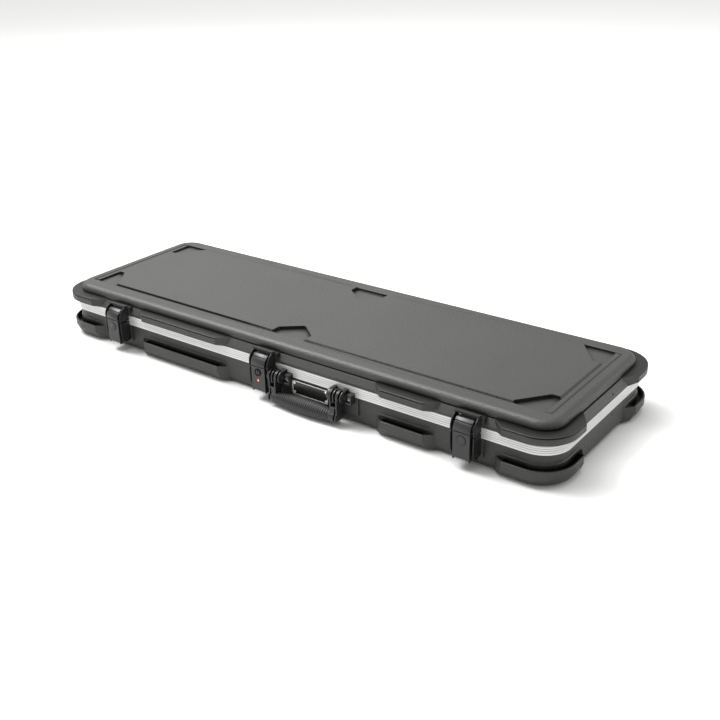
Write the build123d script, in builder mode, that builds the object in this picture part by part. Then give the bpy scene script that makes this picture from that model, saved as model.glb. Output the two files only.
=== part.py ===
# Bass guitar case: two moulded shells in aluminium valances, three trigger latches,
# a carrying handle, three rear hinges and a padded inside.
# Millimetres. The origin is the middle of the underside, +X along the length, -Y the front.
from build123d import *
import math
import os

os.makedirs("parts", exist_ok=True)

# Outline and heights
length = 1250.0
width = 396.0
half_length = length / 2
half_width = width / 2
corner_radius = 56.0
base_depth = 60.0
band_height = 21.0
base_lip = 8.4
parting_gap = 0.2
shelf_height = 101.0
dome_top = 117.5
panel_rise = 2.5
panel_slope = 2.0
wall = 3.5
parting = base_depth + base_lip
lid_line = parting + parting_gap
band_top = base_depth + band_height

# Shells
wall_inset = 3.0
inner_inset = wall_inset + wall
bottom_round = 14.0
lip_inset = 1.0
lip_height = 6.0
dome_inset = 11.0
dome_round = 14.0
crease_inset = 12.5
panel_x = half_length - 51.0
panel_y = half_width - 52.0
pocket_floor = dome_top - 5.0
pocket_over = 1.5
pocket_long = 68.0
pocket_flat = 18.0
pocket_deep = 63.0
pad_bottom = 22.0

# Rub rails
rail_out = 13.0
rail_slant = 12.0
end_rail = half_width - 104.0
corner_rail = half_length - 113.0
mid_left = (245.0 - half_length, -129.0)
mid_right = (257.0, half_length - 244.0)
lid_rail_low = band_top + 4.0
shadow_line = 2.0
base_rail_top = 35.0
base_rail_crease = 20.0
trough_lip = 4.0
trough_depth = 14.0
trough_end = 16.0

# Valances and seal
flange = 2.9
web = 2.1
inner_flange = 2.0
tongue_inset = 4.0
tongue_width = 2.0
tongue_rise = 2.4
groove_gap = 0.3
groove_depth = 4.2
line_width = 1.2
line_depth = 0.8
seal_height = 1.4
valance_inner = inner_inset + 0.1 + inner_flange
base_rim = parting - web
lid_rim = lid_line + groove_depth + web

# Fits
running_gap = 0.05
side_gap = 0.3

# Latches
latch_x = (180.0 - half_length, -15.5, half_length - 169.0)
latch_half = 24.5
latch_plate = 2.0
latch_reach = 25.0
latch_bottom = 24.0
lever_half = 17.4
lever_skin = 2.0
lever_face = 27.0
lever_bottom = 21.0
lever_top = 74.3
pivot_out = 12.0
pivot_z = 31.0
pin_radius = 2.0
trigger_out = 20.0
trigger_z = 74.0
trigger_bottom = 75.9
trigger_round = 22.0
catch_out = 6.0
catch_z = 93.0
boss_radius = 8.8
plug_z = 63.0
plug_radius = 6.4
cam_length = 11.0
indicator_z = 45.5
indicator_radius = 3.2
strike_bottom = 72.0
strike_top = 105.0

# Rivets
rivet_radius = 1.6
rivet_head = 2.8
rivet_rise = 1.0
rivet_grip = 5.5

# Handle
swing_out = 16.0
swing_z = 62.0
swing_pin = 3.0
knuckle_radius = 12.5
knuckle_floor = 3.0
block_face = 14.0
block_low = 48.5
block_high = 68.0
block_half = 7.0
rib_pitch = 7.2
rib_gap = 4.6
rib_depth = 5.0
hub_left = (12.3, 29.7)
hub_right = (165.0, 182.4)
strap = 2.8
corner_round = 12.0
arm_back = 10.0
arm_front = 28.0
crossbar_top = 42.0
crossbar_low = 39.0
slot_width = 3.4
grip_out = 20.5
grip_z = 17.7
grip_radius = 17.0
grip_end_radius = 12.5
grip_rib_pitch = 5.0
grip_rib_gap = 1.6
core_radius = 8.0
screw_radius = 4.0
screw_shank = 2.0
screw_floor = 9.0
screw_x = (46.0, 199.0)

# Name plate
plate_x = (54.0, 143.0)
plate_z = (27.0, 57.0)
plate_skin = 3.0
plate_border = 1.6

# Hinges
hinge_x = (180.0 - half_length, 0.0, half_length - 180.0)
hinge_out = 6.5
hinge_radius = 5.0
hinge_pin = 2.0
hinge_half = 35.0
leaf_skin = 2.0
leaf_step = 14.0
leaf_low = 38.0
leaf_high = 98.0
leaf_clear = 3.5

# Padding
foam_inset = 9.0
foam_floor = wall + side_gap
foam_top = parting - 1.4
body_floor = 25.0
body_end = half_length - 35.0
body_half = half_width - 30.0
head_middle = 160.0 - half_length
neck_floor = 34.0
neck_half = 38.0
well_floor = 20.0
lid_foam_low = 92.0


def outline(inset, mode=Mode.ADD):
    RectangleRounded(length - 2 * inset, width - 2 * inset, corner_radius - inset, mode=mode)


def slab(z, height, inset, mode=Mode.ADD):
    with BuildSketch(Plane.XY.offset(z)) as plan:
        outline(inset)
    extrude(plan.sketch, amount=height, mode=mode)


def ring(z, height, outer, inner, mode=Mode.ADD):
    with BuildSketch(Plane.XY.offset(z)) as plan:
        outline(outer)
        outline(inner, mode=Mode.SUBTRACT)
    extrude(plan.sketch, amount=height, mode=mode)


def slope(low, low_inset, high, high_inset):
    with BuildSketch(Plane.XY.offset(low)) as foot:
        outline(low_inset)
    with BuildSketch(Plane.XY.offset(high)) as head:
        outline(high_inset)
    loft([foot.sketch.faces()[0], head.sketch.faces()[0]], ruled=True)


def side_plane(x, side=-1):
    return Plane(origin=(x, side * half_width, 0), x_dir=(0, side, 0), z_dir=(side, 0, 0))


def face_plane(out, side=-1):
    middle = side * (half_width + out)
    return Plane(origin=(0, middle, 0), x_dir=(-side, 0, 0), z_dir=(0, side, 0))


def block(x0, x1, out0, out1, z0, z1, side=-1, mode=Mode.ADD):
    middle = side * (half_width + (out0 + out1) / 2)
    with Locations(((x0 + x1) / 2, middle, (z0 + z1) / 2)):
        Box(x1 - x0, out1 - out0, z1 - z0, mode=mode)


def rod(x0, x1, out, z, radius, side=-1, mode=Mode.ADD):
    with BuildSketch(side_plane((x0 + x1) / 2, side)) as end:
        with Locations((out, z)):
            Circle(radius)
    extrude(end.sketch, amount=(x1 - x0) / 2, both=True, mode=mode)


def stud(x, z, out0, out1, radius, side=-1, mode=Mode.ADD):
    with BuildSketch(face_plane(out0, side)) as spot:
        with Locations((-side * x, z)):
            Circle(radius)
    extrude(spot.sketch, amount=out1 - out0, mode=mode)


def plate(x0, x1, points, mode=Mode.ADD, side=-1):
    with BuildSketch(side_plane((x0 + x1) / 2, side)) as end:
        Polygon(*points, align=None)
    extrude(end.sketch, amount=(x1 - x0) / 2, both=True, mode=mode)


def rivet_spots(centres, dx, heights):
    return [(x + s * dx, z) for x in centres for s in (-1, 1) for z in heights]


base_latch_spots = rivet_spots(latch_x, 13.0, (36.0, 54.0))
lid_latch_spots = rivet_spots(latch_x, 18.0, (86.0, 97.0))
base_hinge_spots = rivet_spots(hinge_x, 22.0, (45.0, 56.0))
lid_hinge_spots = rivet_spots(hinge_x, 22.0, (86.0, 94.0))
plate_spots = [(x, z) for x in (plate_x[0] + 5, plate_x[1] - 5) for z in (plate_z[0] + 5, plate_z[1] - 5)]
screw_spots = [(x, (block_low + block_high) / 2) for x in screw_x]


def bores(spots, out0, out1, radius, side=-1):
    for x, z in spots:
        stud(x, z, out0, out1, radius, side, Mode.SUBTRACT)


def rivets(spots, seat, side=-1):
    for x, z in spots:
        stud(x, z, -rivet_grip, seat, rivet_radius, side)
        stud(x, z, seat, seat + rivet_rise, rivet_head, side)


# Rub rails: one section swept round a corner or along a side, with slanted ends

def lid_section(plane):
    top = shelf_height
    with BuildSketch(plane) as section:
        Polygon((-2, band_top), (1, band_top + 0.3), (rail_out, lid_rail_low), (rail_out, top - 3.8),
                (rail_out - shadow_line, top - 3.0), (rail_out - shadow_line, top - 1.8),
                (rail_out, top - 1.2), (rail_out - 1.2, top), (-dome_inset - 1, top),
                (-dome_inset - 1, top - 1.8), (-2.5, band_top + lip_height), align=None)
    return section.sketch


def base_section(plane):
    with BuildSketch(plane) as section:
        Polygon((-6, 3.5), (rail_out - 7, 5.5), (rail_out, base_rail_crease),
                (rail_out, base_rail_top - 1.2), (rail_out - 1.2, base_rail_top), (-1.5, base_rail_top),
                (-1.5, base_rail_top + 5), (-3, base_rail_top + 6.5), (-6, base_rail_top + 6.5), align=None)
    return section.sketch


def trough_section(plane):
    trough_width = rail_out - trough_lip + 1.5
    with BuildSketch(plane) as section:
        with Locations((-1.5 + trough_width / 2, base_rail_top + 2.5 - trough_depth / 2)):
            Rectangle(trough_width, trough_depth + 5)
    return section.sketch


def corner_sweep(draw, start, stop, mode=Mode.ADD):
    side = half_length
    edge = -half_width
    with BuildLine() as path:
        first = Line((start, edge, 0), (side - corner_radius, edge, 0))
        bend = RadiusArc(first @ 1, (side, edge + corner_radius, 0), -corner_radius)
        Line(bend @ 1, (side, -stop, 0))
    sweep(draw(side_plane(start)), path=path.wires()[0], mode=mode)


def mid_extrude(draw, start, stop, mode=Mode.ADD):
    extrude(draw(side_plane((start + stop) / 2)), amount=(stop - start) / 2, both=True, mode=mode)


def keep_corner():
    near = half_width - 10
    far = half_width + 20
    with BuildSketch() as zone:
        Polygon((corner_rail - rail_slant, -near), (corner_rail + 2 * rail_slant, -far),
                (half_length + 60, -far), (half_length + 60, -end_rail - 90),
                (half_length - 20, -end_rail + 30), align=None)
    extrude(zone.sketch, amount=dome_top, mode=Mode.INTERSECT)


def keep_side(start, stop):
    near = half_width - 10
    far = half_width + 20
    with BuildSketch() as zone:
        Polygon((start - rail_slant, -near), (start + 2 * rail_slant, -far),
                (stop - 2 * rail_slant, -far), (stop + rail_slant, -near), align=None)
    extrude(zone.sketch, amount=dome_top, mode=Mode.INTERSECT)


def corner_rails(draw, trough):
    with BuildPart() as rail:
        corner_sweep(draw, corner_rail - 20, end_rail - 20)
        keep_corner()
        if trough:
            corner_sweep(trough_section, corner_rail + trough_end, end_rail + trough_end, Mode.SUBTRACT)
        mirror(about=Plane.YZ)
        mirror(about=Plane.XZ)
    return rail.part


def side_rail(draw, trough, start, stop):
    with BuildPart() as rail:
        mid_extrude(draw, start - 20, stop + 20)
        keep_side(start, stop)
        if trough:
            mid_extrude(trough_section, start + trough_end, stop - trough_end, Mode.SUBTRACT)
    return rail.part


def all_rails(draw, trough=False):
    back_left = side_rail(draw, trough, mid_left[0], -130)
    back_right = side_rail(draw, trough, 130, -mid_left[0])
    return [corner_rails(draw, trough),
            side_rail(draw, trough, *mid_left),
            side_rail(draw, trough, *mid_right),
            back_left.mirror(Plane.XZ),
            back_right.mirror(Plane.XZ)]


# Pockets let into the lid: four at the corners of the raised panel, two at mid length

def corner_pocket():
    far_x = panel_x + pocket_over
    far_y = panel_y + pocket_over
    Polygon((far_x, far_y), (panel_x - pocket_long, far_y), (panel_x - pocket_flat, panel_y - pocket_deep),
            (far_x, panel_y - pocket_deep), align=None)


def middle_pocket():
    far_y = panel_y + pocket_over
    Polygon((-43, far_y), (-43, panel_y - 22), (0, panel_y - 56), (43, panel_y - 22), (43, far_y), align=None)


def pockets(low, grow, mode):
    with BuildSketch(Plane.XY.offset(low)) as plan:
        corner_pocket()
        mirror(about=Plane.YZ)
        mirror(about=Plane.XZ)
        middle_pocket()
        mirror(about=Plane.XZ)
        if grow:
            offset(amount=grow, kind=Kind.INTERSECTION)
        else:
            fillet(plan.vertices(), 5)
    extrude(plan.sketch, amount=dome_top + 10 - low, mode=mode)


with BuildPart() as lid_hollow:
    slab(lid_line, band_top - lid_line, inner_inset)
    slope(band_top, inner_inset, shelf_height - wall, dome_inset + wall)
    slab(shelf_height - wall, dome_top - shelf_height, dome_inset + wall)
    fillet(lid_hollow.edges().filter_by_position(Axis.Z, dome_top - wall - 0.1, dome_top - wall + 0.1),
           dome_round - wall)
    pockets(pocket_floor - wall, wall, Mode.SUBTRACT)

lid_rails = all_rails(lid_section)
base_rails = all_rails(base_section, True)

with BuildPart() as lid_shell:
    slab(shelf_height - 1.5, dome_top - shelf_height + 1.5, dome_inset)
    fillet(lid_shell.edges().filter_by_position(Axis.Z, dome_top - 0.1, dome_top + 0.1), dome_round)
    slab(lid_rim, band_top - lid_rim, wall_inset)
    slab(band_top, lip_height, lip_inset)
    slope(band_top + lip_height, lip_inset, shelf_height, dome_inset - 1)
    ring(shelf_height - 1.5, 2, dome_inset - 2, crease_inset, Mode.SUBTRACT)
    slab(shelf_height - 1.5, 3, crease_inset)
    with BuildSketch(Plane.XY.offset(dome_top - 1)) as panel:
        RectangleRounded(2 * panel_x, 2 * panel_y, 6)
    extrude(amount=1 + panel_rise)
    panel_top = dome_top + panel_rise
    chamfer(lid_shell.edges().filter_by_position(Axis.Z, panel_top - 0.1, panel_top + 0.1), panel_slope)
    pockets(pocket_floor, 0, Mode.SUBTRACT)
    for x in latch_x:
        block(x - 30, x + 30, -dome_inset - 1, 0, band_top, shelf_height)
    for x in hinge_x:
        block(x - 40, x + 40, -dome_inset - 1, 0, band_top, shelf_height, 1)
    for rail in lid_rails:
        add(rail)
    add(lid_hollow.part, mode=Mode.SUBTRACT)
    bores(lid_latch_spots, -rivet_grip, 1, rivet_radius)
    bores(lid_hinge_spots, -rivet_grip, 1, rivet_radius, 1)
lid_shell.part.label = "lid shell"

with BuildPart() as base_hollow:
    slab(wall, base_depth + base_lip, inner_inset)
    fillet(base_hollow.edges().filter_by_position(Axis.Z, wall - 0.1, wall + 0.1), bottom_round - wall)

with BuildPart() as base_shell:
    slab(0, base_rim, wall_inset)
    fillet(base_shell.edges().filter_by_position(Axis.Z, -0.1, 0.1), bottom_round)
    for x in latch_x:
        block(x - 30, x + 30, -5, 0, pad_bottom, base_depth)
    for x in hinge_x:
        block(x - 40, x + 40, -5, 0, pad_bottom, base_depth, 1)
    block(latch_x[1], screw_x[1] + 14, -5, 0, pad_bottom, base_depth)
    for rail in base_rails:
        add(rail)
    add(base_hollow.part, mode=Mode.SUBTRACT)
    bores(base_latch_spots + plate_spots, -rivet_grip, 1, rivet_radius)
    bores(base_hinge_spots, -rivet_grip, 1, rivet_radius, 1)
    bores(screw_spots, -rivet_grip, 1, screw_shank)
base_shell.part.label = "base shell"


# Aluminium valances: a tongue on the base one runs in a groove of the lid one

with BuildPart() as base_valance:
    ring(base_depth, base_lip, 0, flange)
    ring(base_rim, web, 0, valance_inner)
    ring(base_depth + 2, base_lip - 2, valance_inner - inner_flange, valance_inner)
    ring(parting, tongue_rise, tongue_inset, tongue_inset + tongue_width)
    ring(base_depth + 3.6, line_width, -1, line_depth, Mode.SUBTRACT)
    ring(parting - line_width / 2, line_width, -1, line_depth, Mode.SUBTRACT)
    bores(screw_spots, -rivet_grip, 1, screw_shank)
base_valance.part.label = "base valance"

with BuildPart() as lid_valance:
    ring(lid_line, band_top - lid_line, 0, flange)
    ring(lid_line, groove_depth + web, 0, valance_inner)
    ring(lid_line, band_top - 2 - lid_line, valance_inner - inner_flange, valance_inner)
    ring(lid_line, groove_depth, tongue_inset - groove_gap, tongue_inset + tongue_width + groove_gap,
         Mode.SUBTRACT)
    ring(lid_line - line_width / 2, line_width, -1, line_depth, Mode.SUBTRACT)
    for z in (lid_line + 3.4, lid_line + 7.6):
        ring(z, line_width, -1, line_depth, Mode.SUBTRACT)
lid_valance.part.label = "lid valance"

with BuildPart() as lid_seal:
    ring(lid_line + groove_depth - seal_height, seal_height, tongue_inset - groove_gap,
         tongue_inset + tongue_width + groove_gap)
lid_seal.part.label = "lid seal"


# Padding

with BuildPart() as base_foam:
    slab(foam_floor, foam_top - foam_floor, foam_inset)
    fillet(base_foam.edges().filter_by_position(Axis.Z, foam_floor - 0.1, foam_floor + 0.1), 9)
    with BuildSketch(Plane.XY.offset(body_floor)) as body_space:
        with BuildLine():
            half = Polyline((body_end, 0), (body_end, body_half), (400, body_half), (330, body_half - 35),
                            (260, body_half - 5), (95, body_half - 5), (140, 45), (140, 0))
            mirror(half, about=Plane.XZ)
        make_face()
        fillet([corner for corner in body_space.vertices() if abs(corner.Y) > 1], 22)
    extrude(amount=foam_top, mode=Mode.SUBTRACT)
    with BuildSketch(Plane.XY.offset(neck_floor)):
        with Locations(((head_middle + 285) / 2, 0)):
            Rectangle(285 - head_middle, 2 * neck_half)
    extrude(amount=foam_top, mode=Mode.SUBTRACT)
    with BuildSketch(Plane.XY.offset(neck_floor - 4)):
        with Locations((head_middle, 0)):
            RectangleRounded(250, 150, 22)
    extrude(amount=foam_top, mode=Mode.SUBTRACT)
    with BuildSketch(Plane.XY.offset(well_floor)):
        with Locations((-125, 82 - half_width)):
            RectangleRounded(330, 104, 16)
    extrude(amount=foam_top, mode=Mode.SUBTRACT)
base_foam.part.label = "base foam"

with BuildPart() as neck_cradle:
    with BuildSketch(Plane.YZ.offset(-190)):
        with Locations((0, neck_floor + 14)):
            Rectangle(2 * neck_half - 2 * side_gap, 28)
        with Locations((0, neck_floor + 46)):
            Circle(30, mode=Mode.SUBTRACT)
    extrude(amount=60)
    fillet(neck_cradle.edges().filter_by(Axis.X).group_by(Axis.Z)[-1], 3)
neck_cradle.part.label = "neck cradle"

with BuildPart() as lid_foam:
    slab(lid_foam_low, dome_top - wall - side_gap - lid_foam_low, dome_inset + wall + 0.7)
    fillet(lid_foam.edges().group_by(Axis.Z)[-1], 11)
    fillet(lid_foam.edges().group_by(Axis.Z)[0], 4)
    pockets(pocket_floor - wall - side_gap, wall + side_gap, Mode.SUBTRACT)
lid_foam.part.label = "lid foam"


# Latches

def latch_bracket(x):
    low = latch_bottom
    block(x - latch_half, x + latch_half, 0, latch_plate, low + 2, base_rim)
    for cheek in (x - latch_half, x + latch_half - latch_plate):
        plate(cheek, cheek + latch_plate,
              [(0, low + 2), (6, low), (17, low), (22, low + 5), (latch_reach, low + 15),
               (latch_reach, parting + 1.1), (0.6, parting + 1.1), (0.6, parting - 0.1), (0, parting - 0.1)])
    rod(x - latch_half, x + latch_half, pivot_out, pivot_z, pin_radius, mode=Mode.SUBTRACT)
    bores(base_latch_spots, -1, latch_plate + 1, rivet_radius)


def strike(x):
    block(x - latch_half, x + latch_half, 0, latch_plate, band_top, strike_top)
    for cheek in (x - latch_half, x + latch_half - latch_plate):
        with BuildSketch(side_plane(cheek + latch_plate / 2)) as shape:
            with Locations((0, strike_top - latch_reach)):
                Circle(latch_reach)
            block_height = strike_top - latch_reach - strike_bottom
            with Locations((latch_reach / 2, strike_bottom + block_height / 2)):
                Rectangle(latch_reach, block_height)
            with Locations((latch_reach / 2, (strike_bottom + strike_top) / 2)):
                Rectangle(latch_reach, strike_top - strike_bottom, mode=Mode.INTERSECT)
        extrude(shape.sketch, amount=latch_plate / 2, both=True)
    block(x - latch_half, x + latch_half, 4.5, 9.5, strike_top - 2.5, strike_top + 1.5)
    rod(x - latch_half, x + latch_half, catch_out, catch_z, pin_radius, mode=Mode.SUBTRACT)
    bores(lid_latch_spots, -1, latch_plate + 1, rivet_radius)


def lever(x):
    skin = lever_face - lever_skin
    low = lever_bottom
    plate(x - lever_half, x + lever_half,
          [(lever_face, low + 3), (lever_face, lever_top), (skin, lever_top), (skin, low + 3.5),
           (skin - 1.5, low + 2), (17, low + 2), (17, low), (24, low)])
    for cheek in (x - lever_half, x + lever_half - lever_skin):
        with BuildSketch(side_plane(cheek + lever_skin / 2)) as shape:
            with Locations((pivot_out, pivot_z)):
                Circle(6)
            with Locations((trigger_out, trigger_z)):
                Circle(4.6)
            Polygon((pivot_out - 6, pivot_z), (trigger_out - 4.6, trigger_z), (skin, lever_top),
                    (skin, low + 3), (pivot_out, pivot_z - 6), align=None)
            Polygon((skin - 4, low + 5), (lever_face, low + 5), (lever_face - 1, low - 2),
                    (skin - 3, low - 2), align=None)
        extrude(shape.sketch, amount=lever_skin / 2, both=True)
    rod(x - latch_half + latch_plate + 0.1, x - lever_half, pivot_out, pivot_z, 5)
    rod(x + lever_half, x + latch_half - latch_plate - 0.1, pivot_out, pivot_z, 5)
    rod(x - latch_half, x + latch_half, pivot_out, pivot_z, pin_radius + running_gap, mode=Mode.SUBTRACT)
    rod(x - latch_half, x + latch_half, trigger_out, trigger_z, pin_radius, mode=Mode.SUBTRACT)


def trigger(x):
    centre = (lever_face - trigger_round, trigger_bottom + 1.5)
    bend_low = centre[1]
    with BuildSketch(side_plane(x)) as hood:
        with Locations(centre):
            Circle(trigger_round)
            Circle(trigger_round - lever_skin, mode=Mode.SUBTRACT)
        with Locations((13 + 20, bend_low + 20)):
            Rectangle(40, 40, mode=Mode.INTERSECT)
        with Locations((lever_face - lever_skin / 2, bend_low - 0.75)):
            Rectangle(lever_skin, 1.5)
    extrude(hood.sketch, amount=lever_half, both=True)
    for cheek in (x - 14.2, x + 14.2):
        with BuildSketch(side_plane(cheek)) as shape:
            with Locations(centre):
                Circle(trigger_round - 1)
            Polygon((10, 93), (15.4, 80), (15.4, 76), (25, 76), (25, 110), (10, 110), align=None,
                    mode=Mode.INTERSECT)
            Polygon((15.4, trigger_z), (15.4, 81), (24.6, 81), (24.6, trigger_z), align=None)
            with Locations((trigger_out, trigger_z)):
                Circle(4.6)
        extrude(shape.sketch, amount=1, both=True)
    tip = catch_out - pin_radius - 1.4
    over = catch_z + pin_radius + running_gap
    plate(x - 13.5, x + 13.5,
          [(tip, over - 0.55), (tip + 1.3, over - 0.55), (tip + 1.3, over), (14.5, over), (14.5, over + 1.5),
           (12, over + 2.5), (tip, over + 2.5)])
    rod(x - lever_half, x + lever_half, trigger_out, trigger_z, pin_radius + running_gap, mode=Mode.SUBTRACT)
    line_reach = trigger_round * math.sqrt(0.5)
    rod(x - lever_half, x + lever_half, centre[0] + line_reach, centre[1] + line_reach, 1.5,
        mode=Mode.SUBTRACT)


def trigger_spring(x):
    rod(x - 6, x + 6, trigger_out, trigger_z, 3.2)
    for i in range(5):
        rod(x - 6 + 2.6 * i, x - 4.4 + 2.6 * i, trigger_out, trigger_z, 3.9)
    block(x - 5.8, x - 4.6, trigger_out, lever_face - lever_skin, trigger_z - 3.7, trigger_z - 2.6)
    block(x + 4.6, x + 5.8, trigger_out, lever_face - lever_skin, trigger_z + 2.7, trigger_z + 3.8)
    rod(x - 8, x + 8, trigger_out, trigger_z, pin_radius, mode=Mode.SUBTRACT)


with BuildPart() as latch_bracket_left:
    latch_bracket(latch_x[0])
latch_bracket_left.part.label = "latch bracket left"

with BuildPart() as latch_bracket_centre:
    latch_bracket(latch_x[1])
    keeper = plug_z - cam_length - 2
    block(latch_x[1] + 3, latch_x[1] + 6, 0, lever_face - 2.4, keeper, keeper + 4)
    block(latch_x[1] - 2.5, latch_x[1] + 6, lever_face - 3.7, lever_face - 2.4, keeper, keeper + 4)
latch_bracket_centre.part.label = "latch bracket centre"

with BuildPart() as latch_bracket_right:
    latch_bracket(latch_x[2])
latch_bracket_right.part.label = "latch bracket right"

with BuildPart() as strike_left:
    strike(latch_x[0])
strike_left.part.label = "strike left"

with BuildPart() as strike_centre:
    strike(latch_x[1])
strike_centre.part.label = "strike centre"

with BuildPart() as strike_right:
    strike(latch_x[2])
strike_right.part.label = "strike right"

with BuildPart() as lever_left:
    lever(latch_x[0])
    stud(latch_x[0], swing_z - 2, lever_face, lever_face + 0.8, boss_radius)
lever_left.part.label = "lever left"

with BuildPart() as lever_centre:
    lever(latch_x[1])
    stud(latch_x[1], plug_z, lever_face - 3, lever_face + 1, plug_radius + running_gap, mode=Mode.SUBTRACT)
    stud(latch_x[1], indicator_z, lever_face - 3, lever_face + 1, indicator_radius, mode=Mode.SUBTRACT)
lever_centre.part.label = "lever centre"

with BuildPart() as lever_right:
    lever(latch_x[2])
    stud(latch_x[2], swing_z - 2, lever_face, lever_face + 0.8, boss_radius)
lever_right.part.label = "lever right"

with BuildPart() as trigger_left:
    trigger(latch_x[0])
trigger_left.part.label = "trigger left"

with BuildPart() as trigger_centre:
    trigger(latch_x[1])
trigger_centre.part.label = "trigger centre"

with BuildPart() as trigger_right:
    trigger(latch_x[2])
trigger_right.part.label = "trigger right"

with BuildPart() as spring_left:
    trigger_spring(latch_x[0])
spring_left.part.label = "trigger spring left"

with BuildPart() as spring_centre:
    trigger_spring(latch_x[1])
spring_centre.part.label = "trigger spring centre"

with BuildPart() as spring_right:
    trigger_spring(latch_x[2])
spring_right.part.label = "trigger spring right"

with BuildPart() as trigger_pin_left:
    rod(latch_x[0] - lever_half, latch_x[0] + lever_half, trigger_out, trigger_z, pin_radius)
trigger_pin_left.part.label = "trigger pin left"

with BuildPart() as trigger_pin_centre:
    rod(latch_x[1] - lever_half, latch_x[1] + lever_half, trigger_out, trigger_z, pin_radius)
trigger_pin_centre.part.label = "trigger pin centre"

with BuildPart() as trigger_pin_right:
    rod(latch_x[2] - lever_half, latch_x[2] + lever_half, trigger_out, trigger_z, pin_radius)
trigger_pin_right.part.label = "trigger pin right"

with BuildPart() as lever_pins:
    for x in latch_x:
        rod(x - latch_half, x + latch_half, pivot_out, pivot_z, pin_radius)
lever_pins.part.label = "lever pins"

with BuildPart() as catch_pins:
    for x in latch_x:
        rod(x - latch_half, x + latch_half, catch_out, catch_z, pin_radius)
catch_pins.part.label = "catch pins"

with BuildPart() as lock_indicator:
    stud(latch_x[1], indicator_z, lever_face - lever_skin, lever_face + 0.5, indicator_radius)
lock_indicator.part.label = "lock indicator"

with BuildPart() as lock_plug:
    back = lever_face - lever_skin - 0.1
    stud(latch_x[1], plug_z, back - 1.8, back, plug_radius + 1.2)
    stud(latch_x[1], plug_z, back, lever_face + 0.1, plug_radius)
    stud(latch_x[1], plug_z, lever_face + 0.1, lever_face + 1.1, plug_radius + 1.2)
    block(latch_x[1] - cam_length, latch_x[1], back - 3.8, back - 1.8, plug_z - 1.5, plug_z + 1.5)
    block(latch_x[1] - 0.7, latch_x[1] + 0.7, lever_face - 1, lever_face + 2, plug_z - 3, plug_z + 3,
          mode=Mode.SUBTRACT)
lock_plug.part.label = "lock plug"

with BuildPart() as base_latch_rivets:
    rivets(base_latch_spots, latch_plate)
base_latch_rivets.part.label = "base latch rivets"

with BuildPart() as lid_latch_rivets:
    rivets(lid_latch_spots, latch_plate)
lid_latch_rivets.part.label = "lid latch rivets"


# Name plate

with BuildPart() as name_plate:
    block(*plate_x, 0, plate_skin, *plate_z)
    block(*plate_x, plate_skin, plate_skin + 0.8, *plate_z)
    block(plate_x[0] + plate_border, plate_x[1] - plate_border, plate_skin, plate_skin + 1,
          plate_z[0] + plate_border, plate_z[1] - plate_border, mode=Mode.SUBTRACT)
    bores(plate_spots, -1, plate_skin + 1, rivet_radius)
name_plate.part.label = "name plate"

with BuildPart() as plate_rivets:
    rivets(plate_spots, plate_skin)
plate_rivets.part.label = "name plate rivets"


# Handle

def stepped(x0, x1, out, low, high):
    edge = parting - 0.1
    plate(x0, x1, [(0, low), (out, low), (out, high), (0.6, high), (0.6, edge), (0, edge)])


def ribs(x0, x1):
    count = round((x1 - x0) / rib_pitch)
    first = (x0 + x1) / 2 - (count - 1) * rib_pitch / 2
    for i in range(count):
        middle = first + i * rib_pitch
        with BuildSketch(side_plane(middle)) as cut:
            with Locations((swing_out, swing_z)):
                Circle(knuckle_radius + 3)
                Circle(knuckle_radius - rib_depth, mode=Mode.SUBTRACT)
            with Locations((swing_out + 18, swing_z)):
                Rectangle(40, 60, mode=Mode.INTERSECT)
        extrude(cut.sketch, amount=rib_gap / 2, both=True, mode=Mode.SUBTRACT)


def knuckle(x0, x1):
    stepped(x0, x1, swing_out, swing_z - knuckle_radius, swing_z + knuckle_radius)
    rod(x0, x1, swing_out, swing_z, knuckle_radius)
    if x1 - x0 > rib_pitch:
        ribs(x0, x1)


def end_block(x0, x1):
    stepped(x0, x1, block_face, block_low, block_high)


def bracket_plate(x0, x1):
    block(x0, x1, 0, knuckle_floor, swing_z - knuckle_radius, parting - 0.1)


def screw_seat(x, z):
    stud(x, z, -1, block_face + 1, screw_shank, mode=Mode.SUBTRACT)
    block(x - 5, x + 5, screw_floor, block_face + 1, z - 6, z + 6, mode=Mode.SUBTRACT)


with BuildPart() as handle_bracket_left:
    bracket_plate(hub_left[0] - 3, screw_x[0] + block_half)
    knuckle(hub_left[0] - 3, hub_left[0] - side_gap)
    knuckle(hub_left[1] + side_gap, screw_x[0] - block_half)
    end_block(screw_x[0] - block_half, screw_x[0] + block_half)
    rod(hub_left[0] - 4, screw_x[0] - 5, swing_out, swing_z, swing_pin, mode=Mode.SUBTRACT)
    screw_seat(*screw_spots[0])
handle_bracket_left.part.label = "handle bracket left"

with BuildPart() as handle_bracket_right:
    bracket_plate(hub_right[0] - 14.5, screw_x[1] + block_half)
    end_block(hub_right[0] - 14.5, hub_right[0] - 7)
    knuckle(hub_right[0] - 7, hub_right[0] - side_gap)
    knuckle(hub_right[1] + side_gap, screw_x[1] - block_half)
    end_block(screw_x[1] - block_half, screw_x[1] + block_half)
    rod(hub_right[0] - 10, screw_x[1] - 5.5, swing_out, swing_z, swing_pin, mode=Mode.SUBTRACT)
    screw_seat(*screw_spots[1])
handle_bracket_right.part.label = "handle bracket right"

with BuildPart() as handle_pins:
    rod(hub_left[0] - 3, screw_x[0] - 5, swing_out, swing_z, swing_pin)
    rod(hub_right[0] - 10, screw_x[1] - 5.5, swing_out, swing_z, swing_pin)
handle_pins.part.label = "handle pins"

with BuildPart() as handle_screws:
    for x, z in screw_spots:
        stud(x, z, -rivet_grip, screw_floor, screw_shank)
        stud(x, z, screw_floor, screw_floor + 2.5, screw_radius)
        block(x - 3, x + 3, screw_floor + 1.5, screw_floor + 3, z - 0.6, z + 0.6, mode=Mode.SUBTRACT)
handle_screws.part.label = "handle screws"

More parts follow.
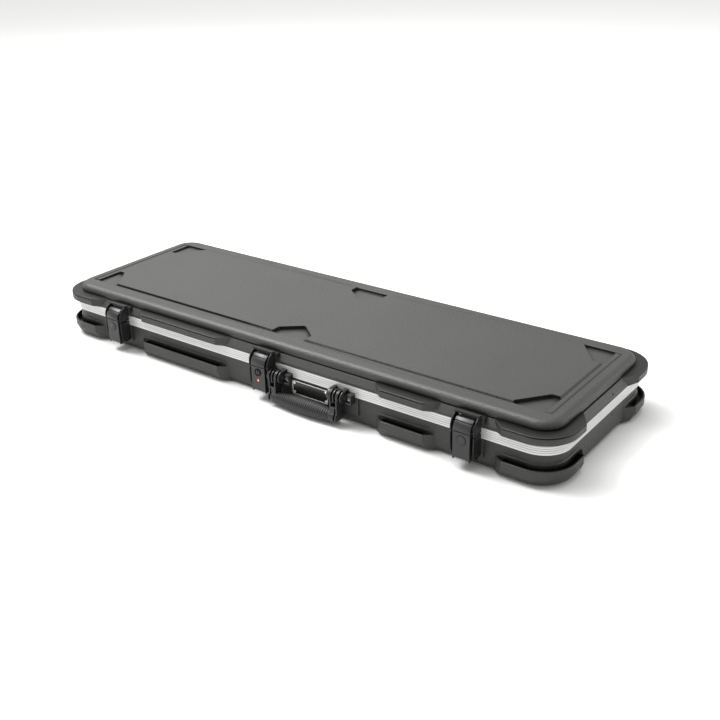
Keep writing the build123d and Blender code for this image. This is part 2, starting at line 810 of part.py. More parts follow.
def arm(x0, x1, outer):
    """One arm: two straps joined by a crossbar under the hub and by a web below it, with a slot."""
    with BuildSketch(side_plane((x0 + x1) / 2)) as shape:
        with Locations((swing_out, swing_z)):
            Circle(knuckle_radius)
        with Locations((grip_out, grip_z)):
            Circle(grip_end_radius)
        Polygon((arm_back, swing_z), (arm_back, grip_z), (arm_front, grip_z), (arm_front, swing_z),
                align=None)
    extrude(shape.sketch, amount=(x1 - x0) / 2, both=True)
    ribs(x0, x1)
    block(x0 + strap, x1 - strap, swing_out + 1, arm_front + 2, crossbar_top, swing_z - knuckle_radius + 2,
          mode=Mode.SUBTRACT)
    edge = x0 + strap if outer < 0 else x1 - strap - slot_width
    block(edge, edge + slot_width, arm_front - 5, arm_front + 6, grip_z - 4, crossbar_low,
          mode=Mode.SUBTRACT)


def corner_cut(x, inward):
    """Rounds the outer bottom corner of an arm in the front view."""
    low = grip_z - grip_end_radius
    with BuildSketch(face_plane(0, -1)) as corner:
        with Locations((x + inward * (corner_round / 2 - 1), low + corner_round / 2 - 1)):
            Rectangle(corner_round + 2, corner_round + 2)
        with Locations((x + inward * corner_round, low + corner_round)):
            Circle(corner_round, mode=Mode.SUBTRACT)
    extrude(corner.sketch, amount=grip_out + grip_end_radius + 2, mode=Mode.SUBTRACT)


with BuildPart() as handle_core:
    rod(hub_left[0] + 1, hub_right[1] - 1, grip_out, grip_z, core_radius)
    arm(*hub_left, -1)
    arm(*hub_right, 1)
    corner_cut(hub_left[0], 1)
    corner_cut(hub_right[1], -1)
    rod(hub_left[0] - 1, hub_right[1] + 1, swing_out, swing_z, swing_pin + running_gap, mode=Mode.SUBTRACT)
handle_core.part.label = "handle core"

grip_middle = (hub_left[1] + hub_right[0]) / 2
grip_half = (hub_right[0] - hub_left[1]) / 2


def grip_reach(x):
    return grip_radius - (grip_radius - grip_end_radius) * ((x - grip_middle) / grip_half) ** 2


with BuildPart() as handle_grip:
    axis = Plane(origin=(grip_middle, -half_width - grip_out, grip_z), x_dir=(1, 0, 0), z_dir=(0, -1, 0))
    with BuildSketch(axis):
        with BuildLine():
            ThreePointArc((-grip_half, grip_end_radius), (0, grip_radius), (grip_half, grip_end_radius))
            Polyline((grip_half, grip_end_radius), (grip_half, core_radius), (-grip_half, core_radius),
                     (-grip_half, grip_end_radius))
        make_face()
    revolve(axis=Axis((grip_middle, -half_width - grip_out, grip_z), (1, 0, 0)))
    count = int(2 * grip_half / grip_rib_pitch) - 1
    for i in range(count):
        middle = grip_middle + (i - (count - 1) / 2) * grip_rib_pitch
        with BuildSketch(side_plane(middle)) as cut:
            with Locations((grip_out, grip_z)):
                Circle(grip_radius + 2)
                Circle(grip_reach(middle) - 1, mode=Mode.SUBTRACT)
            with Locations((grip_out, grip_z + grip_radius + 4)):
                Rectangle(3 * grip_radius, 2 * grip_radius, mode=Mode.INTERSECT)
        extrude(cut.sketch, amount=grip_rib_gap / 2, both=True, mode=Mode.SUBTRACT)
handle_grip.part.label = "handle grip"


# Hinges: three knuckles on the base leaf, two on the lid leaf

hinge_z = (parting + lid_line) / 2


def hinge_barrel(x, index):
    x0 = x - hinge_half + leaf_step * index + side_gap / 2
    x1 = x - hinge_half + leaf_step * (index + 1) - side_gap / 2
    rod(x0, x1, hinge_out, hinge_z, hinge_radius, 1)
    return x0, x1


def base_leaf(x):
    block(x - hinge_half, x + hinge_half, 0, leaf_skin, leaf_low, hinge_z - leaf_clear, 1)
    for index in (0, 2, 4):
        x0, x1 = hinge_barrel(x, index)
        block(x0, x1, 0, 4.5, hinge_z - leaf_clear, parting, 1)
    rod(x - hinge_half - 1, x + hinge_half + 1, hinge_out, hinge_z, hinge_pin, 1, Mode.SUBTRACT)
    bores(base_hinge_spots, -1, leaf_skin + 1, rivet_radius, 1)


def lid_leaf(x):
    block(x - hinge_half, x + hinge_half, 0, leaf_skin, hinge_z + leaf_clear, leaf_high, 1)
    for index in (1, 3):
        x0, x1 = hinge_barrel(x, index)
        block(x0, x1, 0, 4.5, lid_line, hinge_z + leaf_clear, 1)
    rod(x - hinge_half, x + hinge_half, hinge_out, hinge_z, hinge_pin + running_gap, 1, Mode.SUBTRACT)
    bores(lid_hinge_spots, -1, leaf_skin + 1, rivet_radius, 1)


with BuildPart() as base_leaf_left:
    base_leaf(hinge_x[0])
base_leaf_left.part.label = "base hinge leaf left"

with BuildPart() as base_leaf_centre:
    base_leaf(hinge_x[1])
base_leaf_centre.part.label = "base hinge leaf centre"

with BuildPart() as base_leaf_right:
    base_leaf(hinge_x[2])
base_leaf_right.part.label = "base hinge leaf right"

with BuildPart() as lid_leaf_left:
    lid_leaf(hinge_x[0])
lid_leaf_left.part.label = "lid hinge leaf left"

with BuildPart() as lid_leaf_centre:
    lid_leaf(hinge_x[1])
lid_leaf_centre.part.label = "lid hinge leaf centre"

with BuildPart() as lid_leaf_right:
    lid_leaf(hinge_x[2])
lid_leaf_right.part.label = "lid hinge leaf right"

with BuildPart() as hinge_pins:
    for x in hinge_x:
        rod(x - hinge_half, x + hinge_half, hinge_out, hinge_z, hinge_pin, 1)
hinge_pins.part.label = "hinge pins"

with BuildPart() as base_hinge_rivets:
    rivets(base_hinge_spots, leaf_skin, 1)
base_hinge_rivets.part.label = "base hinge rivets"

with BuildPart() as lid_hinge_rivets:
    rivets(lid_hinge_spots, leaf_skin, 1)
lid_hinge_rivets.part.label = "lid hinge rivets"


export_step(base_shell.part, "parts/base_shell.step")
export_step(base_valance.part, "parts/base_valance.step")
export_step(base_foam.part, "parts/base_foam.step")
export_step(neck_cradle.part, "parts/neck_cradle.step")
export_step(latch_bracket_left.part, "parts/latch_bracket_left.step")
export_step(latch_bracket_centre.part, "parts/latch_bracket_centre.step")
export_step(latch_bracket_right.part, "parts/latch_bracket_right.step")
export_step(lever_pins.part, "parts/lever_pins.step")
export_step(base_latch_rivets.part, "parts/base_latch_rivets.step")
export_step(handle_bracket_left.part, "parts/handle_bracket_left.step")
export_step(handle_bracket_right.part, "parts/handle_bracket_right.step")
export_step(handle_pins.part, "parts/handle_pins.step")
export_step(handle_screws.part, "parts/handle_screws.step")
export_step(name_plate.part, "parts/name_plate.step")
export_step(plate_rivets.part, "parts/plate_rivets.step")
export_step(base_leaf_left.part, "parts/base_leaf_left.step")
export_step(base_leaf_centre.part, "parts/base_leaf_centre.step")
export_step(base_leaf_right.part, "parts/base_leaf_right.step")
export_step(hinge_pins.part, "parts/hinge_pins.step")
export_step(base_hinge_rivets.part, "parts/base_hinge_rivets.step")
export_step(lid_shell.part, "parts/lid_shell.step")
export_step(lid_valance.part, "parts/lid_valance.step")
export_step(lid_seal.part, "parts/lid_seal.step")
export_step(lid_foam.part, "parts/lid_foam.step")
export_step(strike_left.part, "parts/strike_left.step")
export_step(strike_centre.part, "parts/strike_centre.step")
export_step(strike_right.part, "parts/strike_right.step")
export_step(catch_pins.part, "parts/catch_pins.step")
export_step(lid_latch_rivets.part, "parts/lid_latch_rivets.step")
export_step(lid_leaf_left.part, "parts/lid_leaf_left.step")
export_step(lid_leaf_centre.part, "parts/lid_leaf_centre.step")
export_step(lid_leaf_right.part, "parts/lid_leaf_right.step")
export_step(lid_hinge_rivets.part, "parts/lid_hinge_rivets.step")
export_step(lever_left.part, "parts/lever_left.step")
export_step(lever_centre.part, "parts/lever_centre.step")
export_step(lever_right.part, "parts/lever_right.step")
export_step(trigger_pin_left.part, "parts/trigger_pin_left.step")
export_step(trigger_pin_centre.part, "parts/trigger_pin_centre.step")
export_step(trigger_pin_right.part, "parts/trigger_pin_right.step")
export_step(spring_left.part, "parts/spring_left.step")
export_step(spring_centre.part, "parts/spring_centre.step")
export_step(spring_right.part, "parts/spring_right.step")
export_step(trigger_left.part, "parts/trigger_left.step")
export_step(trigger_centre.part, "parts/trigger_centre.step")
export_step(trigger_right.part, "parts/trigger_right.step")
export_step(lock_indicator.part, "parts/lock_indicator.step")
export_step(lock_plug.part, "parts/lock_plug.step")
export_step(handle_core.part, "parts/handle_core.step")
export_step(handle_grip.part, "parts/handle_grip.step")
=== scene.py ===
# Bass guitar case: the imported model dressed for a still, in metres, in the model's own frame.
import math

import bmesh
import bpy
from mathutils import Matrix, Vector


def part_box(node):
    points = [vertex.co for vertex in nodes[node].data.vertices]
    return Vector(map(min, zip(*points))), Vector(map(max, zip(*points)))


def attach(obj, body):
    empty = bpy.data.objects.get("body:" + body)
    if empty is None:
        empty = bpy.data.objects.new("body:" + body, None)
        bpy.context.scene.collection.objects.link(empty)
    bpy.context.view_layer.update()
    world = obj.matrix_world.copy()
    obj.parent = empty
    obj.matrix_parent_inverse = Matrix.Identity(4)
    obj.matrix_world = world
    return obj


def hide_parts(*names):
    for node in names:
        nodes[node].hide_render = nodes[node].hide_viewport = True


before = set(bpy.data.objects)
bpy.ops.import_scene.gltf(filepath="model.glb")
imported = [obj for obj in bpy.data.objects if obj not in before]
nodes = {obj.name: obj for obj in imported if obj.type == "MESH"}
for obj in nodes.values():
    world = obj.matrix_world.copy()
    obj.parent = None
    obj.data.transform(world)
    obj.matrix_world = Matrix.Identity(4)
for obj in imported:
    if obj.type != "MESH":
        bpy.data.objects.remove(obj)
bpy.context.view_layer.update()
SIDES = ("left", "centre", "right")


# Helpers for materials

def add_node(mat, kind, **inputs):
    node = mat.node_tree.nodes.new(kind)
    for key, value in inputs.items():
        node.inputs[key.replace("_", " ")].default_value = value
    return node


def join(mat, output, socket):
    mat.node_tree.links.new(output, socket)


def feed(mat, value, socket):
    """A number, or what another node gives, into a socket."""
    if isinstance(value, (int, float)):
        socket.default_value = value
    else:
        join(mat, value, socket)


def shader(mat):
    return mat.node_tree.nodes["Principled BSDF"]


def material(name, colour, metallic=0.0, specular=0.5, **more):
    mat = bpy.data.materials.new(name)
    mat.use_nodes = True
    inputs = shader(mat).inputs
    inputs["Base Color"].default_value = (*colour, 1.0)
    inputs["Metallic"].default_value = metallic
    inputs["Specular IOR Level"].default_value = specular
    for key, value in more.items():
        inputs[key.replace("_", " ")].default_value = value
    return mat


def object_space(mat, stretch):
    """Model coordinates, stretched: every CAD object has its origin at the model's."""
    coords = add_node(mat, "ShaderNodeTexCoord")
    mapping = add_node(mat, "ShaderNodeMapping", Scale=stretch)
    join(mat, coords.outputs["Object"], mapping.inputs["Vector"])
    return mapping.outputs["Vector"]


def split(mat, kind):
    """The three parts of a texture coordinate."""
    coords = add_node(mat, "ShaderNodeTexCoord")
    parts = add_node(mat, "ShaderNodeSeparateXYZ")
    join(mat, coords.outputs[kind], parts.inputs["Vector"])
    return parts.outputs["X"], parts.outputs["Y"], parts.outputs["Z"]


def ramp(mat, value, start, end, low, high):
    """A value taken from one range to another, held at both ends."""
    node = add_node(mat, "ShaderNodeMapRange", From_Min=start, From_Max=end, To_Min=low, To_Max=high)
    join(mat, value, node.inputs["Value"])
    return node.outputs["Result"]


def maths(mat, operation, *values):
    node = add_node(mat, "ShaderNodeMath")
    node.operation = operation
    for socket, value in zip(node.inputs, values):
        feed(mat, value, socket)
    return node.outputs["Value"]


def product(mat, factors):
    total = factors[0]
    for factor in factors[1:]:
        total = maths(mat, "MULTIPLY", total, factor)
    return total


# Ends of the useful range of noise, for gloss and for tone, and of the occlusion node
GLOSS_NOISE = (0.3, 0.7)
TONE_NOISE = (0.35, 0.65)
OCCLUSION = (0.35, 0.95)


def noise(mat, size, stretch=(1, 1, 1), detail=3.0):
    node = add_node(mat, "ShaderNodeTexNoise", Scale=1.0 / size, Detail=detail)
    join(mat, object_space(mat, stretch), node.inputs["Vector"])
    return node.outputs["Fac"]


def grain(mat, size, depth, detail=3.0):
    """Fine surface relief: noise of that size and depth in metres, fed to the normal."""
    bump = add_node(mat, "ShaderNodeBump", Strength=1.0)
    feed(mat, depth, bump.inputs["Distance"])
    join(mat, noise(mat, size, detail=detail), bump.inputs["Height"])
    join(mat, bump.outputs["Normal"], shader(mat).inputs["Normal"])


def vary(mat, size, smooth, rough, stretch=(1, 1, 1)):
    """Roughness that wanders between two values over the surface."""
    wander = ramp(mat, noise(mat, size, stretch, detail=4.0), *GLOSS_NOISE, smooth, rough)
    join(mat, wander, shader(mat).inputs["Roughness"])


def cloud(mat, size, low, high, stretch=(1, 1, 1)):
    """Soft noise between two values."""
    return ramp(mat, noise(mat, size, stretch), *TONE_NOISE, low, high)


def painted_crease_shade(mat, reach, painted_shade):
    """Painted shade: darker where the piece's own walls stand close together."""
    node = add_node(mat, "ShaderNodeAmbientOcclusion", Distance=reach)
    node.only_local = True
    node.samples = 12
    return ramp(mat, node.outputs["AO"], *OCCLUSION, painted_shade, 1.0)


def shade(mat, *factors, painted_shade=()):
    """The base colour times the factors; the painted-shade factors darken it and take the gloss away too.
    """
    total = product(mat, [*factors, *painted_shade])
    if painted_shade:
        join(mat, maths(mat, "SUBTRACT", 1.0, product(mat, painted_shade)), shader(mat).inputs["Metallic"])
    mix = add_node(mat, "ShaderNodeMix")
    mix.data_type = "RGBA"
    mix.blend_type = "MIX"
    mix.clamp_factor = False
    factor, black, full = mix.inputs[0], mix.inputs[6], mix.inputs[7]
    colour = shader(mat).inputs["Base Color"]
    black.default_value = (0.0, 0.0, 0.0, 1.0)
    full.default_value = colour.default_value[:]
    join(mat, total, factor)
    join(mat, mix.outputs[2], colour)


# Shell plastic, with painted shade: the dark line round the lid's panel, the dark shelves under its dome,
# and its creases

# Half the panel's length and width, and the height that its sloped edge starts above
PANEL_X, PANEL_Y = 0.587, 0.146
PANEL_FOOT_Z = 0.1165
# The painted shadow line: how far inside the panel's rim it lies, its half width with the fade, and its
# tone at each end
LINE_INSET = 0.0006
LINE_HALF, LINE_FADE = 0.0010, 0.0022
LINE_DARK_LEFT, LINE_DARK_RIGHT = 0.06, 0.48
LEFT_DISTANCE_SCALE = 0.55
LEFT_TO_RIGHT = (-0.12, 0.0)
# The shelves' painted shade: the heights over which it ends, the upward part of their normal, and its tone
SHELF_Z = (0.1020, 0.1035)
SHELF_SLOPE = (0.80, 0.95)
SHELF_DARK = 0.45
# The grain, deeper on steep faces than on level ones
GRAIN_SIZE = 0.0026
STEEP_TO_LEVEL = (0.55, 0.97)
STEEP_GRAIN, LEVEL_GRAIN = 0.0009, 0.00038


def panel_shadow_line(mat):
    """Painted shadow along the panel's rim: strong and wide at the left, faint and narrow at the right."""
    x, y, z = split(mat, "Object")
    past_x = maths(mat, "SUBTRACT", maths(mat, "ABSOLUTE", x), PANEL_X)
    past_y = maths(mat, "SUBTRACT", maths(mat, "ABSOLUTE", y), PANEL_Y)
    from_line = maths(mat, "ABSOLUTE", maths(mat, "ADD", maths(mat, "MAXIMUM", past_x, past_y), LINE_INSET))
    distance = maths(mat, "MULTIPLY", from_line, ramp(mat, x, *LEFT_TO_RIGHT, LEFT_DISTANCE_SCALE, 1.0))
    line = ramp(mat, distance, LINE_HALF, LINE_FADE, LINE_DARK_LEFT, 1.0)
    limit = ramp(mat, x, *LEFT_TO_RIGHT, LINE_DARK_LEFT, LINE_DARK_RIGHT)
    below = maths(mat, "LESS_THAN", z, PANEL_FOOT_Z)
    return maths(mat, "MAXIMUM", maths(mat, "MAXIMUM", line, limit), below)


def painted_shelf_shade(mat, upward):
    """Painted shade on the level faces that lie under the lid's dome."""
    level = ramp(mat, upward, *SHELF_SLOPE, 0.0, 1.0)
    low = ramp(mat, split(mat, "Object")[2], *SHELF_Z, 1.0, 0.0)
    return ramp(mat, maths(mat, "MULTIPLY", level, low), 0.0, 1.0, 1.0, SHELF_DARK)


def shell_plastic():
    mat = material("shell_plastic", (0.0246, 0.0243, 0.0234))
    upward = split(mat, "Normal")[2]
    grain(mat, GRAIN_SIZE, ramp(mat, upward, *STEEP_TO_LEVEL, STEEP_GRAIN, LEVEL_GRAIN))
    vary(mat, 0.0040, 0.44, 0.57)
    # The tone wanders at random; the creases, the panel's rim and the shelves get painted shade
    shade(mat, cloud(mat, 0.16, 0.93, 1.06), cloud(mat, 0.0030, 0.90, 1.10),
          painted_shade=(painted_crease_shade(mat, 0.026, 0.30), panel_shadow_line(mat), painted_shelf_shade(mat, upward)))
    return mat


# Aluminium with fine lines along it, painted shade along its grooves

# Height of one groove, the step to the next, a groove's half width with the fade, and the tone of the shade
# painted along it
GROOVE_Z, GROOVE_STEP = 0.0642, 0.0042
GROOVE_HALF, GROOVE_FADE = 0.0003, 0.0008
GROOVE_DARK = 0.76


def valance_aluminium():
    mat = material("valance_aluminium", (0.64, 0.64, 0.632), metallic=0.4)
    vary(mat, 0.02, 0.38, 0.46, stretch=(0.05, 0.05, 1.0))
    height = maths(mat, "SUBTRACT", split(mat, "Object")[2], GROOVE_Z)
    from_groove = maths(mat, "PINGPONG", height, GROOVE_STEP / 2)
    # Painted shade along each groove, times a random tone
    shade(mat, ramp(mat, from_groove, GROOVE_HALF, GROOVE_FADE, GROOVE_DARK, 1.0),
          cloud(mat, 0.03, 0.96, 1.03, stretch=(0.1, 0.1, 1.0)))
    return mat


# The other materials

def moulded(name, colour, smooth, rough, grain_depth, painted_shade, grain_size=0.0012, reach=0.006, **more):
    """Fine-grained plastic or rubber, with painted shade in its creases."""
    mat = material(name, colour, **more)
    grain(mat, grain_size, grain_depth)
    vary(mat, reach, smooth, rough)
    shade(mat, cloud(mat, 0.01, 0.94, 1.05), painted_shade=(painted_crease_shade(mat, reach, painted_shade),))
    return mat


def plain(name, colour, smooth, rough, **more):
    """A smooth surface whose tone and gloss wander a little."""
    mat = material(name, colour, **more)
    vary(mat, 0.004, smooth, rough)
    shade(mat, cloud(mat, 0.006, 0.92, 1.06))
    return mat


def gloss_black():
    mat = material("plate_black", (0.008, 0.008, 0.008))
    vary(mat, 0.006, 0.18, 0.30)
    return mat


def plush_cloth():
    mat = material("plush", (0.020, 0.020, 0.022), specular=0.2, Roughness=0.95, Sheen_Weight=0.6,
                   Sheen_Roughness=0.4)
    grain(mat, 0.0016, 0.0006, detail=5.0)
    return mat


shell = shell_plastic()
metal = valance_aluminium()
hardware = moulded("hardware_plastic", (0.013, 0.013, 0.013), 0.36, 0.45, grain_depth=0.00004, painted_shade=0.30)
# The latch brackets and strikes: a matte copy of the hardware plastic, made darker as painted shade where
# they sit in shadow
hardware_shaded_copy = moulded("bracket_plastic_shaded", (0.007, 0.007, 0.007), 0.50, 0.62, grain_depth=0.00005,
                        painted_shade=0.35, specular=0.35)
rubber = moulded("grip_rubber", (0.012, 0.012, 0.0125), 0.56, 0.68, grain_depth=0.00008, painted_shade=0.45,
                 grain_size=0.0007, reach=0.004)
plate_black = gloss_black()
seal_rubber = plain("seal_rubber", (0.015, 0.015, 0.015), 0.64, 0.76)
steel = plain("plain_steel", (0.60, 0.60, 0.61), 0.24, 0.34, metallic=1.0)
rivet_metal = plain("rivet_aluminium", (0.62, 0.62, 0.63), 0.29, 0.40, metallic=1.0)
black_steel = plain("painted_steel", (0.022, 0.022, 0.023), 0.33, 0.44)
red = plain("indicator_red", (0.62, 0.045, 0.02), 0.20, 0.30)
pale = plain("indicator_centre", (0.85, 0.74, 0.70), 0.25, 0.35)
plug_metal = plain("lock_metal", (0.055, 0.055, 0.055), 0.22, 0.36, metallic=1.0)
screw_metal = plain("screw_metal", (0.30, 0.30, 0.30), 0.30, 0.44, metallic=1.0)
light_rivet = plain("plate_rivet", (0.86, 0.86, 0.85), 0.30, 0.42, metallic=0.3)
white_line = plain("plate_line", (0.62, 0.62, 0.61), 0.35, 0.46)
dark_dot = plain("dark_dot", (0.003, 0.003, 0.003), 0.64, 0.76, specular=0.1)
plush = plush_cloth()

DRESS = {
    shell: ["base_shell", "lid_shell"],
    metal: ["base_valance", "lid_valance"],
    plate_black: ["name_plate"],
    hardware: ["handle_bracket_left", "handle_bracket_right", "handle_core"]
    + [f"{kind}_{side}" for kind in ("lever", "trigger") for side in SIDES],
    hardware_shaded_copy: [f"{kind}_{side}" for kind in ("latch_bracket", "strike") for side in SIDES],
    rubber: ["handle_grip"],
    seal_rubber: ["lid_seal"],
    steel: ["hinge_pins"] + [f"{kind}_{side}" for kind in ("trigger_pin", "spring") for side in SIDES],
    rivet_metal: ["base_latch_rivets", "lid_latch_rivets", "base_hinge_rivets", "lid_hinge_rivets"],
    light_rivet: ["plate_rivets"],
    screw_metal: ["handle_screws"],
    black_steel: ["handle_pins", "lever_pins", "catch_pins"]
    + [f"{kind}_leaf_{side}" for kind in ("base", "lid") for side in SIDES],
    red: ["lock_indicator"],
    plug_metal: ["lock_plug"],
    plush: ["base_foam", "lid_foam", "neck_cradle"],
}
for mat, names in DRESS.items():
    for name in names:
        for place in nodes[name].material_slots:
            place.material = mat


# Rounded edges on the moulded and pressed pieces

SHARP = math.radians(38.0)
FLAT = math.radians(0.3)


def round_edges(name, radius, clamp=True, merge=True):
    """Rounds the sharp edges. The merge joins the triangles of flat faces, which cut slivers otherwise."""
    obj = nodes[name]
    weld = obj.modifiers.new("weld", "WELD")
    weld.merge_threshold = 0.00001
    if merge:
        flat = obj.modifiers.new("flat", "DECIMATE")
        flat.decimate_type = "DISSOLVE"
        flat.angle_limit = FLAT
    bevel = obj.modifiers.new("round", "BEVEL")
    bevel.width = radius
    bevel.segments = 2
    bevel.limit_method = "ANGLE"
    bevel.angle_limit = SHARP
    bevel.harden_normals = True
    bevel.use_clamp_overlap = clamp


round_edges("base_shell", 0.0006, clamp=False)
round_edges("lid_shell", 0.0006, clamp=False, merge=False)
for side in SIDES:
    for kind in ("latch_bracket", "strike", "lever", "trigger"):
        round_edges(f"{kind}_{side}", 0.0004)
for name in ("handle_bracket_left", "handle_bracket_right", "handle_core", "handle_grip", "name_plate"):
    round_edges(name, 0.0005)


# Plush padding

PLUSH_VOXEL = 0.004
PLUSH_SMOOTHING = 4


def padded_copy(name):
    """A soft-edged copy of a foam block: the smoothing draws it in, so it stays inside the block."""
    obj = bpy.data.objects.new(name + "_plush", nodes[name].data.copy())
    bpy.context.scene.collection.objects.link(obj)
    obj.data.materials.clear()
    obj.data.materials.append(plush)
    remesh = obj.modifiers.new("remesh", "REMESH")
    remesh.mode = "VOXEL"
    remesh.voxel_size = PLUSH_VOXEL
    remesh.use_smooth_shade = True
    smooth = obj.modifiers.new("smooth", "SMOOTH")
    smooth.factor = 0.5
    smooth.iterations = PLUSH_SMOOTHING
    bpy.context.view_layer.update()
    depsgraph = bpy.context.evaluated_depsgraph_get()
    baked = bpy.data.meshes.new_from_object(obj.evaluated_get(depsgraph))
    obj.modifiers.clear()
    obj.data = baked
    return obj


for name, body in (("base_foam", "base"), ("neck_cradle", "base"), ("lid_foam", "lid")):
    pad = padded_copy(name)
    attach(pad, body)
    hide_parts(name)


# Small details

def piece(name, mesh_builder, mat, body):
    mesh = bpy.data.meshes.new(name)
    bm = bmesh.new()
    mesh_builder(bm)
    bm.to_mesh(mesh)
    bm.free()
    mesh.materials.append(mat)
    obj = bpy.data.objects.new(name, mesh)
    bpy.context.scene.collection.objects.link(obj)
    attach(obj, body)


def disc(bm, centre, radius, depth, facing=(0, -1, 0)):
    """A round plate, a little narrower at its outer face."""
    turn = Vector(facing).to_track_quat("Z", "Y").to_matrix().to_4x4()
    bmesh.ops.create_cone(bm, cap_ends=True, segments=24, radius1=radius, radius2=radius * 0.85,
                          depth=depth, matrix=Matrix.Translation(centre) @ turn)


def rounded_loop(x0, x1, z0, z1, radius, steps=6):
    """Points round a rectangle with rounded corners, as (x, z)."""
    loop = []
    for corner, (cx, cz) in enumerate(((x1 - radius, z1 - radius), (x0 + radius, z1 - radius),
                                       (x0 + radius, z0 + radius), (x1 - radius, z0 + radius))):
        for i in range(steps + 1):
            angle = math.pi / 2 * (corner + i / steps)
            loop.append((cx + radius * math.cos(angle), cz + radius * math.sin(angle)))
    return loop


def frame_ring(bm, outer, inner, y0, y1):
    """A flat frame between two loops, from y0 to y1."""
    rows = [[bm.verts.new((x, y, z)) for x, z in loop]
            for loop, y in ((outer, y1), (outer, y0), (inner, y0), (inner, y1))]
    count = len(outer)
    for this, following in zip(rows, rows[1:] + rows[:1]):
        for i in range(count):
            j = (i + 1) % count
            bm.faces.new((this[i], this[j], following[j], following[i]))
    bmesh.ops.remove_doubles(bm, verts=bm.verts, dist=0.000001)
    bmesh.ops.recalc_face_normals(bm, faces=bm.faces)


def circle_ring(bm, x, z, outer, inner, y0, y1):
    loops = [rounded_loop(x - r, x + r, z - r, z + r, r, steps=8) for r in (outer, inner)]
    frame_ring(bm, *loops, y0, y1)


# The light frame round the plate: inset and corner radius of its outer and inner edge
OUTLINE_EDGES = ((0.0003, 0.0026), (0.0017, 0.0014))
OUTLINE_PROUD, OUTLINE_SUNK = 0.0003, 0.0002


def plate_outline(bm):
    low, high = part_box("name_plate")
    loops = [rounded_loop(low[0] + inset, high[0] - inset, low[2] + inset, high[2] - inset, radius)
             for inset, radius in OUTLINE_EDGES]
    frame_ring(bm, *loops, low[1] - OUTLINE_PROUD, low[1] + OUTLINE_SUNK)


piece("plate_outline", plate_outline, white_line, "base")

# The centre lever: the indicator's light centre and the ring round the keyhole
INDICATOR_DOT_RADIUS, INDICATOR_DOT_DEPTH = 0.0017, 0.0004
PLUG_RADIUS = 0.0076
KEYHOLE_OUTER, KEYHOLE_INNER, KEYHOLE_HALF_DEPTH = 0.0078, 0.0050, 0.0003

indicator_low, indicator_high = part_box("lock_indicator")
indicator_x = (indicator_low[0] + indicator_high[0]) / 2
indicator_z = (indicator_low[2] + indicator_high[2]) / 2
indicator_face = (indicator_x, indicator_low[1], indicator_z)
piece("indicator_dot", lambda bm: disc(bm, indicator_face, INDICATOR_DOT_RADIUS, INDICATOR_DOT_DEPTH),
      pale, "lever_centre")

plug_low, plug_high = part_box("lock_plug")
plug_z = plug_high[2] - PLUG_RADIUS
piece("keyhole_ring", lambda bm: circle_ring(bm, indicator_x, plug_z, KEYHOLE_OUTER, KEYHOLE_INNER,
                                             plug_low[1] - KEYHOLE_HALF_DEPTH,
                                             plug_low[1] + KEYHOLE_HALF_DEPTH),
      dark_dot, "lever_centre")

# The other two levers: a dark ring round the button, painted shade at the raised button's edge
BUTTON_Z = 0.060
BUTTON_OUTER, BUTTON_INNER = 0.0098, 0.0089
BUTTON_FRONT, BUTTON_BACK = 0.0006, 0.0010

for side in ("left", "right"):
    low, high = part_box(f"lever_{side}")
    middle = (low[0] + high[0]) / 2
    piece(f"boss_shade_ring_{side}", lambda bm: circle_ring(bm, middle, BUTTON_Z, BUTTON_OUTER, BUTTON_INNER,
                                                      low[1] + BUTTON_FRONT, low[1] + BUTTON_BACK),
          dark_dot, f"lever_{side}")

# The right end wall: a dark dot on the base and one on the lid, with its place and the way it faces
END_DOT_RADIUS, END_DOT_DEPTH = 0.0021, 0.0007
END_DOTS = (("low", "base", (0.6219, 0.0349, 0.0468), (1, 0, 0)),
            ("high", "lid", (0.6222, 0.0315, 0.0898), (0.84, 0, 0.54)))

for label, body, spot, facing in END_DOTS:
    piece(f"end_dot_{label}", lambda bm: disc(bm, spot, END_DOT_RADIUS, END_DOT_DEPTH, facing),
          dark_dot, body)


# Floor

FLOOR_SIZE = 40
FLOOR_DROP = 0.0003

bpy.ops.mesh.primitive_plane_add(size=FLOOR_SIZE, location=(0, 0, -FLOOR_DROP))
floor = bpy.context.object
floor.name = "floor"
floor.data.materials.append(material("floor_white", (0.69, 0.69, 0.69), specular=0.0, Roughness=0.9))


# Light

AIM = Vector((0, 0, 0.05))

world = bpy.data.worlds.new("studio")
bpy.context.scene.world = world
world.use_nodes = True
backdrop = world.node_tree.nodes["Background"].inputs
backdrop["Color"].default_value = (1.0, 1.0, 0.975, 1.0)
backdrop["Strength"].default_value = 0.70


def add_light(name, kind, direction, energy):
    data = bpy.data.lights.new(name, kind)
    data.energy = energy
    obj = bpy.data.objects.new(name, data)
    obj.rotation_euler = direction.to_track_quat("-Z", "Y").to_euler()
    bpy.context.scene.collection.objects.link(obj)
    return obj


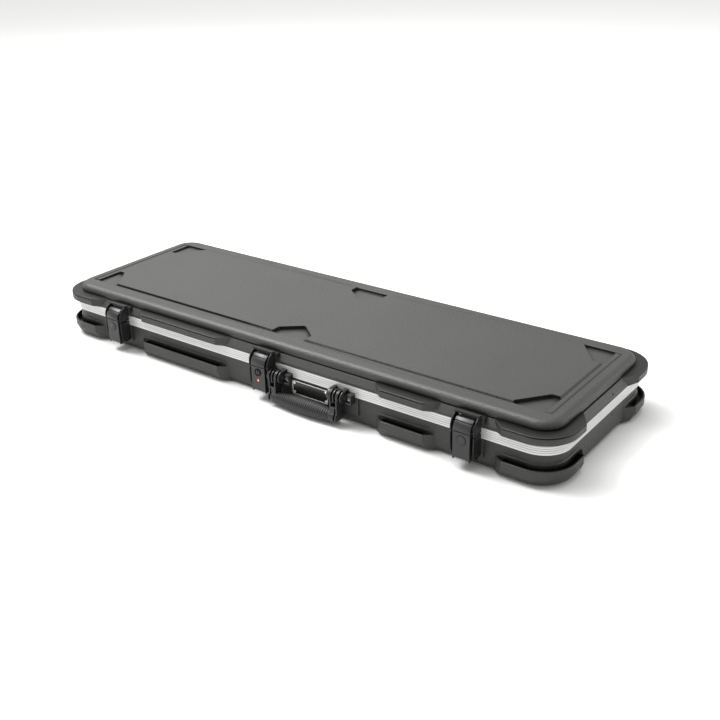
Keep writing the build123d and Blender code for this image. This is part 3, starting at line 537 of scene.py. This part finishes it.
def softbox(name, location, size, power):
    obj = add_light(name, "AREA", AIM - Vector(location), power)
    obj.location = location
    obj.data.shape = "RECTANGLE"
    obj.data.size, obj.data.size_y = size


def sun(name, direction, energy, width):
    obj = add_light(name, "SUN", Vector(direction), energy)
    obj.data.angle = math.radians(width)


softbox("near_key", (-2.7, -0.5, 4.0), (2.0, 1.6), 205)
softbox("fill_front", (-3.4, -3.0, 3.0), (2.5, 2.0), 6)
softbox("fill_back", (0, 4.0, 3.0), (4.0, 2.0), 11)
softbox("rim_left", (-3.2, 3.0, 3.0), (3.0, 2.0), 38)
softbox("rim_right", (3.4, 3.2, 1.2), (2.0, 1.6), 38)
softbox("back_right", (3.2, 3.4, 3.0), (3.0, 2.0), 19)
softbox("overhead", (0, 0.2, 4.0), (3.0, 2.0), 68)
sun("key", (2.6, 0.5, -4.0), 1.60, 36)
sun("front", (0.4, 2.4, -3.4), 0.10, 50)


# Camera, at the photograph's angle

AZIMUTH, ELEVATION, ROLL = math.radians(36.95), math.radians(25.21), math.radians(-1.18)
CAMERA_PLACE = Vector((1.2460, -1.5628, 0.9459))
LENS, SENSOR_WIDTH, FARTHEST = 50.94, 36.0, 60.0

forward = Vector((-math.sin(AZIMUTH) * math.cos(ELEVATION), math.cos(AZIMUTH) * math.cos(ELEVATION),
                  -math.sin(ELEVATION)))
right = Vector((math.cos(AZIMUTH), math.sin(AZIMUTH), 0))
up = right.cross(forward)
camera_right = right * math.cos(ROLL) + up * math.sin(ROLL)
camera_up = up * math.cos(ROLL) - right * math.sin(ROLL)
camera_axes = Matrix((camera_right, camera_up, -forward)).transposed()
camera = bpy.data.objects.new("camera", bpy.data.cameras.new("camera"))
camera.data.lens = LENS
camera.data.sensor_width = SENSOR_WIDTH
camera.data.clip_end = FARTHEST
camera.matrix_world = Matrix.LocRotScale(CAMERA_PLACE, camera_axes.to_quaternion(), None)
bpy.context.scene.collection.objects.link(camera)
bpy.context.scene.camera = camera
bpy.context.scene.view_settings.view_transform = "Standard"
